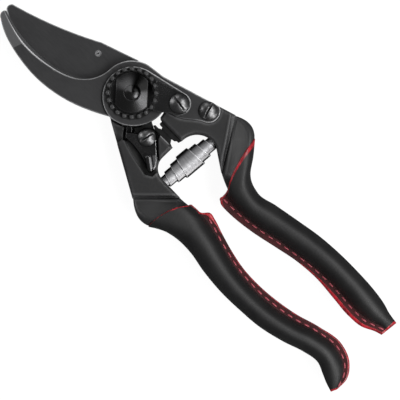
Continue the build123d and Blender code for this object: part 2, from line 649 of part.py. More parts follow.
with BuildPart() as lower_handle:
    neck_outer, neck_inner = LOWER_NECK[0][:2]
    with BuildSketch(Plane.XY.offset(BACK)):
        with BuildLine():
            Polyline(LOWER_OUTER_ROOT, neck_outer, neck_inner, LOWER_POCKET[-1])
            ThreePointArc(*LOWER_POCKET)
            Polyline(
                LOWER_POCKET[0], (LOWER_STOP_ENDS[1], LOWER_STOP), (LOWER_STOP_ENDS[0], LOWER_STOP),
                (0, 0), LOWER_OUTER_ROOT,
            )
        make_face()
        Circle(LOWER_DISC)
    extrude(amount=FRONT - BACK)
    chamfer(lower_handle.faces().sort_by(Axis.Z)[0].edges(), EDGE_BEVEL)
    chamfer(lower_handle.faces().sort_by(Axis.Z)[-1].edges(), EDGE_BEVEL)
    loft(neck_sections(LOWER_NECK, LOWER_RUNGS[0]))
    loft(oval_sections(LOWER_RUNGS[:CORE_RUNGS], CORE_INSET))
    with BuildSketch(Plane.XY.offset(RECESS_FLOOR)):
        with BuildLine():
            Spline(CATCH_RECESS_WALL)
            Polyline(CATCH_RECESS_WALL[-1], *CATCH_RECESS_MOUTH, CATCH_RECESS_WALL[0])
        make_face()
        with Locations((LOWER_RIM_START, 0)):
            Rectangle(2 * THROAT, 4 * THROAT, align=(Align.MAX, Align.CENTER))
    extrude(amount=FRONT - RECESS_FLOOR, mode=Mode.SUBTRACT)
    with BuildSketch(Plane.XY.offset(BLADE_BACK)):
        blade_tang()
        offset(amount=POCKET_GAP)
        Circle(ORBIT_WALL)
    extrude(amount=FRONT - BLADE_BACK, mode=Mode.SUBTRACT)
    with BuildSketch(Plane.XY.offset(BLADE_BACK)):
        with Locations(Location((*polar((NOSE_REACH + NOSE_HEEL) / 2, NOSE_ANGLE), 0), (0, 0, NOSE_ANGLE))):
            Rectangle(NOSE_HEEL - NOSE_REACH + NOSE_ROOM / 2, NOSE_ROOM)
    extrude(amount=FRONT - BLADE_BACK, mode=Mode.SUBTRACT)
    with BuildSketch(Plane.XY.offset(BACK)):
        Circle(BOLT_RADIUS + RUNNING)
    extrude(amount=BLADE_BACK - BACK, mode=Mode.SUBTRACT)
    with BuildSketch(Plane.XY.offset(SHANK_TIP)):
        with Locations(CATCH_SCREW):
            Circle(CATCH_SHANK + RUNNING)
    extrude(amount=BLADE_BACK - SHANK_TIP, mode=Mode.SUBTRACT)
    with BuildSketch(buffer_plane(LOWER_STOP, -1)):
        Circle(BUFFER_STUD + RUNNING)
    extrude(amount=BUFFER_STUD_LENGTH, mode=Mode.SUBTRACT)
    with BuildSketch(spring_foot):
        Circle(SEAT_RADIUS)
    extrude(amount=PEG_LENGTH, mode=Mode.SUBTRACT)
    with BuildSketch(spring_foot.offset(-PEG_ROOT)):
        Circle(PEG_RADIUS)
    extrude(amount=PEG_LENGTH + PEG_ROOT)

with BuildPart() as volute_spring:
    half_length = spring_length / 2 - SPRING_PLAY
    spring_middle = spring_foot.offset(spring_length / 2)
    with BuildSketch(spring_middle):
        with BuildLine():
            for half_turn in range(HALF_TURNS):
                for skin in (-STRIP / 2, STRIP / 2):
                    CenterArc(turn_centre(half_turn), turn_radius(half_turn) + skin, 180 * half_turn, 180)
            for skin in (0, HALF_TURNS):
                end = strip_point(180 * skin)
                Line((end[0] - STRIP / 2, 0), (end[0] + STRIP / 2, 0))
        make_face()
    extrude(amount=half_length, both=True)
    flat_radius = turn_radius(1)
    band_radius = turn_radius(HALF_TURNS)
    upper_edge = [
        (PROFILE_REACH, BAND_HALF), (band_radius, BAND_HALF), (flat_radius, half_length),
        (PEG_RADIUS, half_length), (PEG_RADIUS, half_length - ARM_HEIGHT),
    ]
    lower_edge = [(radius, -height) for radius, height in reversed(upper_edge)]
    normal = spring_middle.x_dir.cross(spring_middle.z_dir)
    with BuildSketch(Plane(origin=spring_middle.origin, x_dir=spring_middle.x_dir, z_dir=normal)):
        with BuildLine():
            Polyline(*upper_edge, (SPLIT_RADIUS, 0), *lower_edge, close=True)
        make_face()
    revolve(axis=Axis(spring_middle.origin, spring_middle.z_dir), mode=Mode.INTERSECT)

pieces = {
    "hook": hook.part,
    "hook_stop_pin": hook_stop_pin.part,
    "cutting_blade": cutting_blade.part,
    "blade_rivet": blade_rivet.part,
    "pivot_bolt": pivot_bolt.part,
    "adjusting_nut": adjusting_nut.part,
    "locking_segment": locking_segment.part,
    "segment_screw": slotted_screw(
        SEGMENT_SCREW, SEGMENT_TOP, SHANK_RADIUS, SEGMENT_SCREW_HEAD, SEGMENT_SLOT
    ),
    "hook_screw": slotted_screw(HOOK_SCREW, HOOK_FRONT, SHANK_RADIUS, HOOK_SCREW_HEAD, HOOK_SLOT),
    "catch_screw": slotted_screw(CATCH_SCREW, CATCH_FRONT, CATCH_SHANK, CATCH_SCREW_HEAD, CATCH_SLOT),
    "thumb_catch": thumb_catch.part,
    "catch_washer": catch_washer.part,
    "upper_handle": upper_handle.part,
    "lower_handle": lower_handle.part,
    "upper_buffer": buffer(UPPER_PAD, UPPER_STOP, 1),
    "lower_buffer": buffer(LOWER_PAD, LOWER_STOP, -1),
    "volute_spring": volute_spring.part,
    "upper_grip": grip(UPPER_RUNGS, UPPER_FLANGE_EDGE, UPPER_FLANGE_ROOT),
    "lower_grip": grip(LOWER_RUNGS, LOWER_FLANGE_EDGE, LOWER_FLANGE_ROOT),
}

strip_path = [(angle, strip_point(angle)) for angle in range(0, 180 * HALF_TURNS + 1, 6)]
least_gap = min(
    math.dist(point, other) - STRIP
    for angle, point in strip_path
    for later, other in strip_path
    if later - angle > 270
)
print(f"volute spring: least gap between turns {least_gap:.2f} mm")

os.makedirs("parts", exist_ok=True)
for name, piece in pieces.items():
    piece.label = name
    export_step(piece, f"parts/{name}.step")
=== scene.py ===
"""Looks of a pair of bypass pruning shears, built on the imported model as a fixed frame.

The plates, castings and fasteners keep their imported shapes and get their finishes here. The
leather sleeves with their painted edges and sewing, and the wound spring, are new surfaces.
Plan points are in millimetres about the jaw pivot, as the shears lie flat.
"""

import logging
import math
from dataclasses import dataclass, field
from enum import Enum
from typing import Any, Optional, Union

import bmesh
import bpy
import numpy as np
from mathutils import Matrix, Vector

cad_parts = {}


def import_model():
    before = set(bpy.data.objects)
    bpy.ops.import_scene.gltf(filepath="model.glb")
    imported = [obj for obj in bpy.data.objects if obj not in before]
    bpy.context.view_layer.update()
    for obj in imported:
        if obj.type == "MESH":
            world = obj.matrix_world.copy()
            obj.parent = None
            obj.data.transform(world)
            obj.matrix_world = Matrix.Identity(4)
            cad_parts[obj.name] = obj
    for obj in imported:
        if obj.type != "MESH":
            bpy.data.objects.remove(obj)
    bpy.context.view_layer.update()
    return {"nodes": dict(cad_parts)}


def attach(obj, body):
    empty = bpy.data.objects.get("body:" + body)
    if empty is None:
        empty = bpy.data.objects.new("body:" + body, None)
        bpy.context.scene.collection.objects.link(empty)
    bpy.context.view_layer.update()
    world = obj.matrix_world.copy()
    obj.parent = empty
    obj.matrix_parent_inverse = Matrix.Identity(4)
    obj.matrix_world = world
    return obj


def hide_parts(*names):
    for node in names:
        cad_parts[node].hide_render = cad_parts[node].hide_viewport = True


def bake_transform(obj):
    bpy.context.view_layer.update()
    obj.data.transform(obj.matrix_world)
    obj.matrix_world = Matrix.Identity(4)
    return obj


Array = np.ndarray
Material = bpy.types.Material
Socket = bpy.types.NodeSocket
Point = tuple[float, float]
Triple = tuple[float, float, float]
Colour = Triple
Number = Union["Value", float]
Fields = Optional[dict[Any, Any]]

MM = 0.001
WELD = 2e-7
EDGE_SAMPLES = 6
EVEN: Triple = (1.0, 1.0, 1.0)

log = logging.getLogger("shears")


class Body(Enum):
    """The moving bodies that a new piece can ride on."""

    HOOK_SIDE = "hook_side"
    BLADE_SIDE = "blade_side"


def heading(start: Point, end: Point) -> Point:
    """Unit direction from one plan point to another."""
    length = math.dist(start, end)
    return (end[0] - start[0]) / length, (end[1] - start[1]) / length


def through(knots: Array, values: Array, at: Array) -> Array:
    """Smooth curve through values: cubic pieces that share a slope, a weighted mean, at each knot.

    Args:
        knots: Rising positions of the values.
        values: One row of values for each knot.
        at: Positions to read the curve at.

    Returns:
        One row of values for each position.
    """
    slopes = np.gradient(values, knots, axis=0)
    piece = np.clip(np.searchsorted(knots, at, side="right") - 1, 0, len(knots) - 2)
    width = (knots[piece + 1] - knots[piece])[:, None]
    t = (at - knots[piece])[:, None] / width
    return (
        values[piece] * (1 + 2 * t) * (1 - t) ** 2
        + values[piece + 1] * t**2 * (3 - 2 * t)
        + slopes[piece] * width * t * (1 - t) ** 2
        - slopes[piece + 1] * width * t**2 * (1 - t)
    )


def smooth_step(share: Array) -> Array:
    """Eased rise from 0 to 1 as a share goes from 0 to 1, level beyond both ends."""
    share = np.clip(share, 0.0, 1.0)
    return share**2 * (3 - 2 * share)


def travelled(path: Array) -> Array:
    """Distance along a path to each of its points."""
    steps = np.linalg.norm(np.diff(path, axis=0), axis=1)
    return np.append(0.0, np.cumsum(steps))


def looped(over: Array, under: Array) -> Array:
    """Rows that run along one array and back along another, which meets it at both ends."""
    return np.hstack([over, under[:, -2:0:-1]])


def grid_quads(rows: int, columns: int) -> Array:
    """Quads of a grid of vertices, numbered row by row, whose last column joins the first."""
    index = np.arange(rows * columns).reshape(rows, columns)
    index = np.hstack([index, index[:, :1]])
    corners = [index[:-1, :-1], index[1:, :-1], index[1:, 1:], index[:-1, 1:]]
    return np.stack(corners, axis=-1).reshape(-1, 4)


@dataclass
class Surface:
    """A new piece's surface: points in millimetres, quads, and values carried at the points."""

    points: Array
    quads: Array
    values: dict[str, Array] = field(default_factory=dict)
    sharp: float = 40.0

    def piece(self, name: str, material: Material) -> bpy.types.Object:
        """Put the surface into a mesh, close its seams, turn it outwards and dress it.

        Args:
            name: Name of the piece.
            material: Its finish.

        Returns:
            The piece's object, at the origin.
        """
        mesh = bpy.data.meshes.new(name)
        mesh.from_pydata((self.points.reshape(-1, 3) * MM).tolist(), [], self.quads.tolist())
        for key, value in self.values.items():
            layer = mesh.attributes.new(key, "FLOAT", "POINT")
            layer.data.foreach_set("value", value.ravel().astype(np.float32))
        shell = bmesh.new()
        shell.from_mesh(mesh)
        bmesh.ops.remove_doubles(shell, verts=shell.verts, dist=WELD)
        bmesh.ops.recalc_face_normals(shell, faces=shell.faces)
        shell.to_mesh(mesh)
        shell.free()
        mesh.shade_smooth()
        mesh.set_sharp_from_angle(angle=math.radians(self.sharp))
        mesh.materials.append(material)
        made = bpy.data.objects.new(name, mesh)
        bpy.context.scene.collection.objects.link(made)
        return made


class Value:
    """A number that varies over a surface; arithmetic on it adds Math nodes."""

    def __init__(self, shader: "Shader", socket: Socket) -> None:
        """Keep the socket and the shader that it belongs to."""
        self.shader = shader
        self.socket = socket

    def _math(self, operation: str, *others: Number) -> "Value":
        """Add a Math node on this value and the others."""
        inputs = dict(enumerate((self, *others)))
        node = self.shader.node("ShaderNodeMath", {"operation": operation}, inputs)
        return Value(self.shader, node.outputs[0])

    def __add__(self, other: Number) -> "Value":
        """This value plus another."""
        return self._math("ADD", other)

    __radd__ = __add__

    def __mul__(self, other: Number) -> "Value":
        """This value times another."""
        return self._math("MULTIPLY", other)

    def __sub__(self, other: Number) -> "Value":
        """This value less another."""
        return self._math("SUBTRACT", other)

    def __rsub__(self, other: Number) -> "Value":
        """Another value less this one."""
        return self._math("MULTIPLY_ADD", -1.0, other)

    def __truediv__(self, other: Number) -> "Value":
        """This value over another."""
        return self._math("DIVIDE", other)

    def size(self) -> "Value":
        """This value without its sign."""
        return self._math("ABSOLUTE")

    def sine(self) -> "Value":
        """Sine of this value."""
        return self._math("SINE")

    def rise(self, low: float, high: float) -> "Value":
        """Eased rise from 0 at the low value to 1 at the high one."""
        node = self.shader.node(
            "ShaderNodeMapRange",
            {"interpolation_type": "SMOOTHSTEP"},
            {"Value": self, "From Min": low, "From Max": high},
        )
        return Value(self.shader, node.outputs[0])

    def fall(self, low: float, high: float) -> "Value":
        """Eased fall from 1 at the low value to 0 at the high one."""
        return 1.0 - self.rise(low, high)


class Shader:
    """A material's node tree, with one surface shader that its finish fills in."""

    def __init__(self, name: str) -> None:
        """Start a material with a surface shader and an output."""
        self.material = bpy.data.materials.new(name)
        self.material.use_nodes = True
        self.tree = self.material.node_tree
        self.tree.nodes.clear()
        self.surface = self.node("ShaderNodeBsdfPrincipled")
        self.node("ShaderNodeOutputMaterial", None, {"Surface": self.surface.outputs[0]})

    def fill(self, node: bpy.types.Node, inputs: dict[Any, Any]) -> None:
        """Link values and sockets to a node's inputs, and set plain numbers on them."""
        for key, value in inputs.items():
            if isinstance(value, Value):
                value = value.socket
            if isinstance(value, Socket):
                self.tree.links.new(value, node.inputs[key])
            else:
                node.inputs[key].default_value = value

    def node(self, kind: str, settings: Fields = None, inputs: Fields = None) -> bpy.types.Node:
        """Add a node with its own settings, then values or links for its sockets."""
        made = self.tree.nodes.new(kind)
        for key, value in (settings or {}).items():
            setattr(made, key, value)
        self.fill(made, inputs or {})
        return made

    def place(self, stretch: Triple = EVEN) -> Socket:
        """Object coordinates, stretched along the axes."""
        coordinates = self.node("ShaderNodeTexCoord").outputs["Object"]
        inputs = {"Vector": coordinates, "Scale": stretch}
        return self.node("ShaderNodeMapping", None, inputs).outputs[0]

    def noise(self, size: float, detail: float = 2.0, stretch: Triple = EVEN) -> Value:
        """Soft noise about 0.5, with features of a size in millimetres."""
        inputs = {"Vector": self.place(stretch), "Scale": 1.0 / (size * MM), "Detail": detail}
        return Value(self, self.node("ShaderNodeTexNoise", None, inputs).outputs[0])

    def mix(self, share: Number, first: Any, second: Any) -> Socket:
        """Colour between two others by a share."""
        ends = [(*end, 1.0) if isinstance(end, tuple) else end for end in (first, second)]
        inputs = {0: share, 6: ends[0], 7: ends[1]}
        return self.node("ShaderNodeMix", {"data_type": "RGBA"}, inputs).outputs[2]

    def rounded(self, radius: float) -> Socket:
        """Normal of the surface with its edges eased by a radius in millimetres."""
        settings = {"samples": EDGE_SAMPLES}
        return self.node("ShaderNodeBevel", settings, {"Radius": radius * MM}).outputs[0]

    def own(self, name: str) -> Value:
        """A value that the piece carries at its points, 0 where it has none."""
        node = self.node("ShaderNodeAttribute", {"attribute_name": name})
        return Value(self, node.outputs["Fac"])

    def axes(self) -> tuple[Value, Value, Value]:
        """Object coordinates in millimetres."""
        node = self.node("ShaderNodeSeparateXYZ", None, {0: self.place((1 / MM,) * 3)})
        return tuple(Value(self, socket) for socket in node.outputs)

    def along(self, way: Point, start: Point = (0.0, 0.0)) -> Value:
        """Distance in plan from a point along a unit direction, in millimetres."""
        x, y, _ = self.axes()
        return (x - start[0]) * way[0] + (y - start[1]) * way[1]

    def out(self, centre: Point = (0.0, 0.0)) -> Value:
        """Squared distance in plan from a point, in square millimetres."""
        x, y, _ = self.axes()
        across, beside = x - centre[0], y - centre[1]
        return across * across + beside * beside

    def beyond(self, radii: Point, centre: Point = (0.0, 0.0)) -> Value:
        """Rise from 0 at one distance in plan from a point to 1 at another, in millimetres."""
        return self.out(centre).rise(radii[0] ** 2, radii[1] ** 2)

    def facing_up(self) -> Value:
        """Upward part of the surface's own direction: 1 on level faces, 0 on upright ones."""
        direction = self.node("ShaderNodeNewGeometry").outputs["True Normal"]
        return Value(self, self.node("ShaderNodeSeparateXYZ", None, {0: direction}).outputs[2])

    def shut_in(self, reach: float, inside: bool = False) -> Value:
        """Share of the surroundings shut off within a reach: in recesses or, inside, at edges."""
        settings = {"inside": inside, "only_local": inside, "samples": EDGE_SAMPLES}
        node = self.node("ShaderNodeAmbientOcclusion", settings, {"Distance": reach * MM})
        return 1.0 - Value(self, node.outputs["AO"])

    def relief(self, height: Value, depth: float, normal: Optional[Socket] = None) -> Socket:
        """Normal with bumps of a depth in millimetres, on another normal or the mesh's own."""
        inputs: dict[Any, Any] = {"Height": height, "Distance": depth * MM, "Strength": 1.0}
        if normal is not None:
            inputs["Normal"] = normal
        return self.node("ShaderNodeBump", None, inputs).outputs[0]

    def finish(self, **inputs: Any) -> Material:
        """Fill in the surface shader's sockets, named with underscores, and give the material."""
        self.fill(self.surface, {key.replace("_", " "): value for key, value in inputs.items()})
        return self.material


@dataclass(frozen=True)
class CoatedSteel:
    """Satin coating over ground or cast metal, lighter along the edges from wear and from a painted
    highlight.
    """

    name: str
    dark: Colour
    light: Colour
    wear_glint_colour: Colour
    roughness: float
    grain: float
    depth: float
    easing: float
    wear_glint_amount: float
    lines: Triple = EVEN
    shine: float = 0.5
    corner_shade: float = 0.6
    metal: float = 0.0
    mottle: float = 9.0
    # Colour and reach of the painted shade in corners and recesses.
    shade_colour: Colour = (0.002, 0.002, 0.002)
    shade_reach: float = 5.0
    patch: float = 1.6

    def ground(self, shader: Shader, coat: Socket) -> Socket:
        """Colour of the coat with its ground faces; a plain piece has none."""
        return coat

    def form(self, shader: Shader, normal: Socket) -> Socket:
        """Normal of the surface with its pressed lines; a plain piece has none."""
        return normal

    def wear_glint_share(self, shader: Shader, edge: Value) -> Value:
        """Share of lightening along the edges, for wear and a painted highlight; a plain piece has
        it all over.
        """
        return edge

    def bare(self, shader: Shader) -> Number:
        """Share of bare metal; a plain piece is the same all over."""
        return self.metal

    def material(self) -> Material:
        """Make the finish: mottled coat, painted shade in corners, fine relief, eased edges
        lightened by wear and a painted highlight.
        """
        shader = Shader(self.name)
        texture = shader.noise(self.grain, 3.0, self.lines)
        cloud = shader.noise(self.mottle)
        coat = shader.mix((texture * 0.6 + cloud * 0.4).rise(0.25, 0.75), self.dark, self.light)
        # Painted shade: corners and recesses darkened towards a near-black colour, the more they
        # are shut in.
        corners = shader.shut_in(self.shade_reach).rise(0.15, 0.7) * self.corner_shade
        coat = shader.mix(corners, self.ground(shader, coat), self.shade_colour)
        patchy = shader.noise(self.patch, 3.0).rise(0.25, 0.6) * 0.4 + 0.6
        # Edges lightened towards a pale colour: partly wear and partly a painted highlight on the
        # eased edges.
        edge = shader.shut_in(self.easing * 1.6, inside=True).rise(0.06, 0.3)
        normal = self.form(shader, shader.rounded(self.easing))
        return shader.finish(
            Base_Color=shader.mix(self.wear_glint_share(shader, edge * patchy * self.wear_glint_amount), coat, self.wear_glint_colour),
            Roughness=self.roughness + (texture - 0.5) * 0.16 + (cloud - 0.5) * 0.1,
            Metallic=self.bare(shader),
            Specular_IOR_Level=self.shine,
            Normal=shader.relief(texture, self.depth, normal),
        )


@dataclass(frozen=True)
class GroundHook(CoatedSteel):
    """Coated plate whose bevel along the cutting side and whose tip are ground lighter."""

    bevel: Colour = (0.075, 0.075, 0.077)
    jaw: Point = (-17.0, -14.0)
    ridge_glint: Colour = (0.62, 0.62, 0.63)
    ridge_glint_height: Point = (12.5, 12.7)
    tip: Colour = (0.085, 0.085, 0.087)
    tip_edge: Point = (-47.3, -19.4)
    tip_way: Point = (-0.941, 0.337)
    under_nut_dark: Colour = (0.004, 0.004, 0.004)
    under_nut_radii: Point = (10.8, 11.3)
    under_nut_height: Point = (13.5, 14.5)
    wear_glint_side: Point = (3.0, 10.0)
    tang: Point = (11.0, 15.0)
    tang_side: Point = (9.0, 17.0)

    def wear_glint_share(self, shader: Shader, edge: Value) -> Value:
        """Share of the lightened edges, wear and painted highlight: full along the outer side, less
        on the inner, least on the tang's.
        """
        x, y, _ = shader.axes()
        tang_dimmed = x.rise(*self.tang) * y.fall(*self.tang_side)
        return edge * (y.rise(*self.wear_glint_side) * 0.55 + 0.45) * (1.0 - tang_dimmed * 0.85)

    def ground(self, shader: Shader, coat: Socket) -> Socket:
        """Colour of the coat, darker under the nut, with the tip's flat, the bevel and a painted
        highlight along its ridge.
        """
        x, _, z = shader.axes()
        up = shader.facing_up()
        # Darker on the pad's top within the nut's radius.
        darkened = (1.0 - shader.beyond(self.under_nut_radii)) * z.rise(*self.under_nut_height)
        coat = shader.mix(darkened, coat, self.under_nut_dark)
        past = shader.along(self.tip_way, self.tip_edge).rise(-0.15, 0.15)
        coat = shader.mix(past * up.rise(0.97, 0.99), coat, self.tip)
        slope = up.rise(0.1, 0.2) * up.fall(0.93, 0.97) * x.fall(*self.jaw)
        coat = shader.mix(slope, coat, self.bevel)
        # Painted highlight: a bright line along the top of the bevel.
        return shader.mix(slope * z.rise(*self.ridge_glint_height), coat, self.ridge_glint)


@dataclass(frozen=True)
class SlidBlade(CoatedSteel):
    """Coated blade with a rubbed mark where it slides past the hook's curved edge."""

    mark: Colour = (0.075, 0.075, 0.077)
    darkened: Colour = (0.003, 0.003, 0.003)
    centre: Point = (-42.4, 28.8)
    radii: Point = (44.6, 46.5)
    hub: Point = (6.0, 8.0)

    def ground(self, shader: Shader, coat: Socket) -> Socket:
        """Colour of the coat with the mark, an arc that fades inwards, and the darker hub."""
        coat = shader.mix(shader.beyond(self.radii, self.centre), coat, self.mark)
        # Darker from x = 6 to 8 mm onwards, on the hub.
        return shader.mix(shader.axes()[0].rise(*self.hub), coat, self.darkened)

    def wear_glint_share(self, shader: Shader, edge: Value) -> Value:
        """Share of the lightened edges, wear and painted highlight: none on the hub."""
        return edge * shader.axes()[0].fall(*self.hub)


@dataclass(frozen=True)
class TurnedSteel(CoatedSteel):
    """Blackened steel, turned about the Z axis, with a painted highlight in two fans across it."""

    # Near black outside the fans as painted shade, then the weaker fan's colour as a painted
    # highlight.
    between: Colour = (0.005, 0.005, 0.005)
    weak_fan_highlight: Colour = (0.085, 0.085, 0.087)
    lit_axis: Point = (0.99, 0.14)
    weak_fan_axis: Point = (-0.966, 0.259)
    fading: Point = (8.0, 70.0)

    def fan(self, shader: Shader, axis: Point) -> Value:
        """Share of the fan about an axis, by the squared cosine of the angle to it."""
        along = shader.along(axis)
        return (along * along / shader.out()).rise(0.35, 1.0) * along.rise(-0.6, 0.6)

    def fans(self, shader: Shader) -> tuple[Value, Value]:
        """Shares of the bright painted fan, and of the weaker one, which fades with the squared
        radius.
        """
        fade = 1.0 - shader.out().rise(*self.fading) * 0.7
        return self.fan(shader, self.lit_axis), self.fan(shader, self.weak_fan_axis) * fade

    def ground(self, shader: Shader, coat: Socket) -> Socket:
        """Colour of the coat with both painted highlight fans, near black outside them as painted
        shade.
        """
        lit, painted_dim = self.fans(shader)
        return shader.mix(painted_dim, shader.mix(lit, self.between, coat), self.weak_fan_highlight)

    def bare(self, shader: Shader) -> Number:
        """Share of bare metal: the lit fan and the dark part beyond it."""
        lit, painted_dim = self.fans(shader)
        beyond = shader.axes()[1].rise(-1.0, 1.0) * (1.0 - painted_dim)
        return (1.0 - (1.0 - lit) * (1.0 - beyond)) * self.metal


@dataclass(frozen=True)
class ToothedNut(TurnedSteel):
    """Turned nut whose round teeth are painted lighter as a highlight, in a darker web."""

    tooth_sheen: Colour = (0.05, 0.05, 0.051)
    darkened: Colour = (0.010, 0.010, 0.010)
    web_radii: Point = (8.6, 8.8)
    tooth_radii: Point = (9.1, 9.4)
    tooth_height: Point = (15.4, 15.7)

    def web(self, shader: Shader) -> Value:
        """Share of the web and its teeth."""
        return shader.beyond(self.web_radii)

    def ground(self, shader: Shader, coat: Socket) -> Socket:
        """Colour of the turned hub, the darker web and the teeth's painted highlight."""
        # Painted highlight: the tops of the teeth lighter than the web.
        teeth = shader.beyond(self.tooth_radii) * shader.axes()[2].rise(*self.tooth_height)
        hub = super().ground(shader, coat)
        return shader.mix(teeth, shader.mix(self.web(shader), hub, self.darkened), self.tooth_sheen)

    def bare(self, shader: Shader) -> Number:
        """Share of bare metal: as on turned steel, but on the hub only."""
        return super().bare(shader) * (1.0 - self.web(shader))


@dataclass(frozen=True)
class RimmedCatch(CoatedSteel):
    """Blackened catch, lighter along its outer rim by wear and a painted highlight, with a painted
    highlight on the thumb rib.
    """

    rim_line: Point = (11.5, 12.8)
    rib_highlight: Colour = (0.20, 0.20, 0.204)
    rib: tuple[Point, Point] = ((24.1, -13.8), (27.9, -16.7))

    def rib_highlit(self, shader: Shader) -> Value:
        """Share of the painted highlight: full along the thumb rib, half between it and the outer
        rim.
        """
        length, (x, y) = math.dist(*self.rib), heading(*self.rib)
        along, off = (shader.along(way, self.rib[0]) for way in ((x, y), (-y, x)))
        bar = (off - 0.2).size().fall(0.3, 0.65) * along.rise(-0.3, 0.3)
        facet = off.rise(1.1, 1.4) * along.rise(-1.2, -0.4) * 0.5
        return (bar + facet) * along.fall(length - 0.4, length + 0.2)

    def ground(self, shader: Shader, coat: Socket) -> Socket:
        """Colour of the coat with the painted highlight."""
        return shader.mix(self.rib_highlit(shader), coat, self.rib_highlight)

    def bare(self, shader: Shader) -> Number:
        """Share of bare metal: less under the painted highlight."""
        return (1.0 - self.rib_highlit(shader)) * self.metal

    def wear_glint_share(self, shader: Shader, edge: Value) -> Value:
        """Share of the lightened edges, wear and painted highlight, full along the outer rim and
        slight elsewhere.
        """
        x, y, _ = shader.axes()
        return edge * ((x + y).rise(*self.rim_line) * 0.8 + 0.2)


@dataclass(frozen=True)
class CastHandle(CoatedSteel):
    """Coated casting with a line pressed across each neck."""

    pressed: tuple[tuple[Point, Point], ...] = (
        ((36.8, 22.0), (50.0, 2.6)),
        ((43.0, -18.0), (31.5, -29.5)),
    )
    line: float = 0.9
    line_depth: float = 0.35
    shoulder: float = 1.3
    shoulder_glint: float = 0.12
    recess: Point = (18.5, -13.5)
    recess_radii: Point = (11.0, 13.0)
    glint_start: Point = (18.8, 20.2)
    glint_end: Point = (25.0, 26.4)
    glint_edge: float = -4.1

    def apart(self, shader: Shader) -> list[Value]:
        """Distances from the pressed lines."""
        starts = [(start, heading(start, end)) for start, end in self.pressed]
        return [shader.along((y, -x), start).size() for start, (x, y) in starts]

    def swelling(self, apart: Value) -> Value:
        """Height of the soft shoulders on both sides of a pressed line."""
        return (apart - self.shoulder).size().fall(0.0, 0.9)

    def wear_glint_share(self, shader: Shader, edge: Value) -> Value:
        """Share of the lightened edges, wear and painted highlight: little round the recess, a
        painted highlight on the shoulders, a full painted highlight streak along y = -4.1 mm.
        """
        x, y, _ = shader.axes()
        edge = edge * (shader.beyond(self.recess_radii, self.recess) * 0.85 + 0.15)
        for apart in self.apart(shader):
            # Painted highlight on the soft shoulders beside each pressed line.
            edge = edge + self.swelling(apart) * self.shoulder_glint
        # Painted highlight: a streak along y = -4.1 mm, between x = 19 and 26 mm.
        glint_streak = (y - self.glint_edge).size().fall(0.2, 0.6)
        return edge + glint_streak * x.rise(*self.glint_start) * x.fall(*self.glint_end)

    def form(self, shader: Shader, normal: Socket) -> Socket:
        """Normal with the pressed lines: a narrow groove between two soft shoulders."""
        for apart in self.apart(shader):
            height = self.swelling(apart) * 0.35 - apart.fall(0.0, self.line)
            normal = shader.relief(height, self.line_depth, normal)
        return normal


@dataclass(frozen=True)
class BareSteel:
    """Bright metal with fine drawing lines; own values mark where the rims get a painted highlight
    and the sides painted light and shade.
    """

    name: str
    colour: Colour
    roughness: float
    lines: Triple = EVEN
    glint_rim: Colour = (0.9, 0.9, 0.91)
    painted_dim: Colour = (0.13, 0.13, 0.135)
    painted_lit_side: Colour = (0.7, 0.7, 0.71)
    shade: Colour = (0.02, 0.02, 0.02)
    film: float = 0.72

    def material(self) -> Material:
        """Make the finish: fine lines that shift the shine, a film, painted light and shade on the
        sides, painted highlights on the rims.
        """
        shader = Shader(self.name)
        lines = shader.noise(0.5, 3.0, self.lines)
        film = shader.noise(4.0).rise(0.3, 0.7)
        filmed = tuple(self.film * part for part in self.colour)
        # Painted highlight on the marked rims; painted light on the side marked as facing the
        # lamps, painted shade on the side away.
        glint_rim, side = shader.own("glint_rim").rise(0.3, 0.8), shader.own("side")
        away, painted_lit = 0.0 - side, side.rise(0.5, 0.8)
        metal = shader.mix(film * 0.3 + lines.rise(0.35, 0.65) * 0.7, self.colour, filmed)
        metal = shader.mix(away.rise(0.1, 0.9), metal, self.painted_dim)
        metal = shader.mix(painted_lit, metal, self.painted_lit_side)
        # Painted shade: dark outlines along both sides.
        metal = shader.mix(side.rise(0.76, 0.88) + away.rise(0.68, 0.86), metal, self.shade)
        return shader.finish(
            Base_Color=shader.mix(glint_rim, metal, self.glint_rim),
            Roughness=self.roughness + (lines - 0.5) * 0.2,
            Metallic=1.0 - painted_lit * 0.7,
            Normal=shader.relief(lines, 0.01, shader.rounded(0.12)),
        )


@dataclass(frozen=True)
class PeenedRivet:
    """Small rivet hammered over: a dark dimple in a ring with a painted highlight."""

    name: str = "peened_rivet"
    centre: Point = (-21.8, 1.8)
    radius: float = 0.95
    dark: Colour = (0.03, 0.03, 0.031)
    ring_highlight: Colour = (0.50, 0.50, 0.51)

    def material(self) -> Material:
        """Make the finish: a ring of painted highlight about the rivet's middle, patchy from the
        hammer.
        """
        shader = Shader(self.name)
        out = shader.out(self.centre) * (1 / self.radius**2)
        ring = out.rise(0.18, 0.36) * out.fall(0.62, 0.8)
        patchy = shader.noise(0.7).rise(0.35, 0.6)
        # Painted highlight: a bright ring round the dark middle.
        return shader.finish(
            Base_Color=shader.mix(ring * (patchy * 0.7 + 0.3), self.dark, self.ring_highlight),
            Roughness=0.4 - patchy * 0.12,
            Specular_IOR_Level=0.4,
            Normal=shader.relief(ring, 0.15),
        )


@dataclass(frozen=True)
class Rubber:
    """Matt moulded rubber."""

    name: str = "rubber"
    colour: Colour = (0.005, 0.005, 0.0052)
    bloom: float = 1.9

    def material(self) -> Material:
        """Make the finish: fine moulded skin with a dusty bloom."""
        shader = Shader(self.name)
        skin = shader.noise(0.35, 3.0)
        dusty = tuple(self.bloom * part for part in self.colour)
        return shader.finish(
            Base_Color=shader.mix(shader.noise(3.0, 3.0).rise(0.35, 0.75), self.colour, dusty),
            Roughness=0.55 + (skin - 0.5) * 0.2,
            Specular_IOR_Level=0.15,
            Normal=shader.relief(skin, 0.03, shader.rounded(0.4)),
        )


